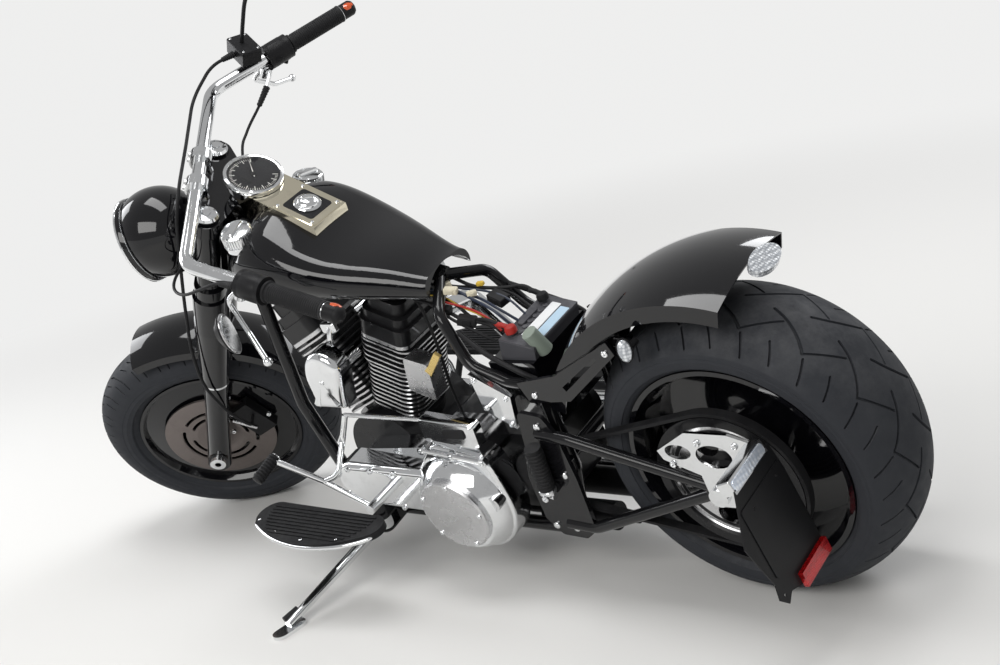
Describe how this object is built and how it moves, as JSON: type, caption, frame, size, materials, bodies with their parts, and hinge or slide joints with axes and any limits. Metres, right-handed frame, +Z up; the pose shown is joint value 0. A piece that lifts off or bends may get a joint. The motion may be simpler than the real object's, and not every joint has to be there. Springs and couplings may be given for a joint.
{
  "type": "chopper motorcycle",
  "caption": "Low two-wheeled cruiser with a wide rear tyre, a finned V-twin engine, wide handlebar, floorboards and no seat, leaning on its side stand.",
  "frame": {"origin": "on the ground, under the middle of the whole outline, with the machine leaned on its side stand", "axes": "+X forward, +Y to the rider's left, +Z up"},
  "size_m": [2.2401, 0.9518, 1.4344],
  "materials": {
    "gloss_black": "deep gloss",
    "frame_black": "gloss powder coat",
    "satin_black": "satin",
    "engine_black": "wrinkle black with polished fin edges",
    "chrome": "mirror chrome",
    "polished_alloy": "polished, slightly dull",
    "disc_steel": "worn and dusty",
    "brass": "worn",
    "tyre": "dusty",
    "rubber": "matt",
    "battery_grey": "moulded, dull",
    "red_lens": "prismatic",
    "clear_lens": "clear"
  },
  "bodies": {
    "rear_wheel": {"rear_tyre": "tyre", "rear_rim": "gloss_black", "rear_pulley": "polished_alloy", "rear_disc": "disc_steel"},
    "front_wheel": {"front_tyre": "tyre", "front_rim": "gloss_black", "front_disc": "disc_steel"},
    "steering": {"fork_legs": "gloss_black", "front_axle": "chrome", "triple_clamps": "gloss_black", "handlebar": "chrome", "grips": "rubber", "bar_end_signals": "satin_black", "headlight_shell": "gloss_black", "headlight_lens": "clear_lens", "front_fender": "gloss_black", "levers": "chrome", "switch_housings": "satin_black", "mirrors": "satin_black", "front_caliper": "satin_black", "brake_hose": "rubber", "control_cables": "rubber"},
    "frame": {"frame_rails": "frame_black", "frame_backbone": "frame_black", "swing_arm": "frame_black", "rear_axle": "chrome", "shock_absorbers": "satin_black", "crankcase": "polished_alloy", "cylinders": "engine_black", "rocker_covers": "engine_black", "push_rod_tubes": "chrome", "horn_cover": "chrome", "coil_cover": "polished_alloy", "ignition_key": "brass", "primary_cover": "chrome", "derby_cover": "polished_alloy", "gearbox": "polished_alloy", "battery": "battery_grey", "oil_tank": "gloss_black", "side_cover": "chrome", "speedometer": "chrome", "fuel_tanks": "gloss_black", "fuel_caps": "chrome", "dash_console": "chrome", "rear_fender": "gloss_black", "tail_light": "clear_lens", "fender_struts": "gloss_black", "rear_signals": "chrome", "drive_belt": "rubber", "plate_arm": "chrome", "plate_holder": "satin_black", "plate_reflector": "red_lens", "exhaust_pipes": "chrome", "air_cleaner": "chrome", "floorboards": "rubber", "foot_controls": "chrome", "passenger_pegs": "rubber", "cable_runs": "rubber", "stand_bracket": "frame_black"},
    "side_stand": {"side_stand": "chrome"}
  },
  "joints": [
    {"name": "rear_wheel_spin", "type": "hinge", "parent": "frame", "child": "rear_wheel", "pos_m": [-0.79507, -0.04025, 0.32181], "axis": [-0.0017, 0.9781, -0.2079], "continuous": true},
    {"name": "steering", "type": "hinge", "parent": "frame", "child": "steering", "pos_m": [0.37477, 0.08782, 0.91472], "axis": [-0.5379, 0.1744, 0.8248], "range_deg": [-72, 0], "deforming": ["control_cables"]},
    {"name": "front_wheel_spin", "type": "hinge", "parent": "steering", "child": "front_wheel", "pos_m": [0.83532, -0.00949, 0.28743], "axis": [-0.4969, 0.7248, -0.4773], "continuous": true},
    {"name": "side_stand_fold", "type": "hinge", "parent": "frame", "child": "side_stand", "pos_m": [0.18818, 0.09748, 0.10552], "axis": [-0.1465, 0.2687, 0.952], "range_deg": [0, 92]}
  ]
}
